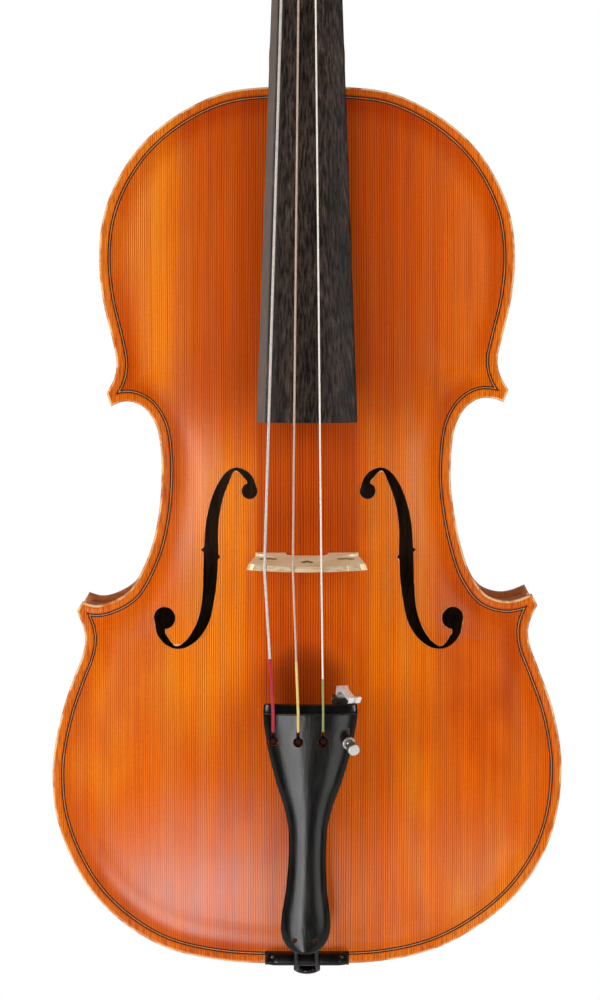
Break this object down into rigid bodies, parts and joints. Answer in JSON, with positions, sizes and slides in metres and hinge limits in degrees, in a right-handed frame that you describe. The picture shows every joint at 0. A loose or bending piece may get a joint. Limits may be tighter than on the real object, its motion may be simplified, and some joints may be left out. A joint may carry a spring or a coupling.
{
  "type": "viola",
  "caption": "Hollow arched wooden viola with f-holes, a scrolled pegbox with friction pegs, fingerboard, bridge, tailpiece with one fine tuner, and strings.",
  "frame": {"origin": "centre of the end button's flat outer face, at the foot of the instrument", "axes": "+Z from the end button towards the scroll, along the plates' gluing faces; -Y out of the front (top plate, strings); +X towards the treble side"},
  "size_m": [0.235, 0.1123, 0.6775],
  "materials": {
    "spruce_top": "amber orange varnish, glossy",
    "maple_body": "red-brown varnish, glossy",
    "maple_bridge": "bare, smooth",
    "inner_wood": "bare",
    "ebony": "oiled, satin",
    "purfling": "black, pale, black strips under varnish",
    "tail_cord": "smooth black cord",
    "string_metal": "polished winding",
    "tuner_metal": "nickel plated"
  },
  "bodies": {
    "instrument": {"top_plate": "spruce_top", "back_plate": "maple_body", "top_purfling_bass": "purfling", "top_purfling_treble": "purfling", "back_purfling": "purfling", "upper_rib_bass": "maple_body", "centre_rib_bass": "maple_body", "lower_rib_bass": "maple_body", "upper_rib_treble": "maple_body", "centre_rib_treble": "maple_body", "lower_rib_treble": "maple_body", "upper_top_lining_bass": "inner_wood", "upper_back_lining_bass": "inner_wood", "centre_top_lining_bass": "inner_wood", "centre_back_lining_bass": "inner_wood", "lower_top_lining_bass": "inner_wood", "lower_back_lining_bass": "inner_wood", "upper_top_lining_treble": "inner_wood", "upper_back_lining_treble": "inner_wood", "centre_top_lining_treble": "inner_wood", "centre_back_lining_treble": "inner_wood", "lower_top_lining_treble": "inner_wood", "lower_back_lining_treble": "inner_wood", "upper_corner_block_bass": "inner_wood", "lower_corner_block_bass": "inner_wood", "upper_corner_block_treble": "inner_wood", "lower_corner_block_treble": "inner_wood", "top_block": "inner_wood", "bottom_block": "inner_wood", "bass_bar": "inner_wood", "sound_post": "inner_wood", "saddle": "ebony", "end_button": "ebony", "fingerboard": "ebony", "nut": "ebony", "neck": "maple_body", "bridge": "maple_bridge", "tailpiece": "ebony", "tailpiece_fret": "ebony", "tailgut": "tail_cord", "string_c": "string_metal", "string_g": "string_metal", "string_d": "string_metal", "tuner_nut": "tuner_metal", "tuner_frame": "tuner_metal", "tuner_pivot": "tuner_metal"},
    "peg_c": {"peg_c": "ebony", "string_c_turns": "string_metal"},
    "peg_g": {"peg_g": "ebony", "string_g_turns": "string_metal"},
    "peg_d": {"peg_d": "ebony", "string_d_turns": "string_metal"},
    "peg_a": {"peg_a": "ebony"},
    "tuner_screw": {"tuner_screw": "tuner_metal"},
    "tuner_knob": {"tuner_knob": "tuner_metal"},
    "tuner_lever": {"tuner_lever": "tuner_metal"}
  },
  "joints": [
    {"name": "peg_c_turn", "type": "hinge", "parent": "instrument", "child": "peg_c", "pos_m": [0, -0.00018, 0.5851], "axis": [1, 0, 0], "continuous": true},
    {"name": "peg_g_turn", "type": "hinge", "parent": "instrument", "child": "peg_g", "pos_m": [0, 0.0061, 0.61366], "axis": [1, 0, 0], "continuous": true},
    {"name": "peg_d_turn", "type": "hinge", "parent": "instrument", "child": "peg_d", "pos_m": [0, 0.00895, 0.62766], "axis": [1, 0, 0], "continuous": true},
    {"name": "peg_a_turn", "type": "hinge", "parent": "instrument", "child": "peg_a", "pos_m": [0, 0.0031, 0.5991], "axis": [1, 0, 0], "continuous": true},
    {"name": "tuner_screw_travel", "type": "slide", "parent": "instrument", "child": "tuner_screw", "axis": [0.2896, -0.9195, -0.2658], "range_m": [-0.0015, 0.0015]},
    {"name": "tuner_knob_turn", "type": "hinge", "parent": "tuner_screw", "child": "tuner_knob", "pos_m": [0.02115, -0.06588, 0.11537], "axis": [0.2896, -0.9195, -0.2658], "range_deg": [-1080.5, 1080.5]},
    {"name": "tuner_lever_pivot", "type": "hinge", "parent": "instrument", "child": "tuner_lever", "pos_m": [0.01563, -0.04835, 0.136], "axis": [0.9538, 0.3004, 0], "range_deg": [-5.75, 5.75]}
  ],
  "couplings": [
    {"joint": "tuner_knob_turn", "follows": "tuner_screw_travel", "rad_per_m": 12566},
    {"joint": "tuner_lever_pivot", "follows": "tuner_screw_travel", "rad_per_m": -66.667}
  ]
}
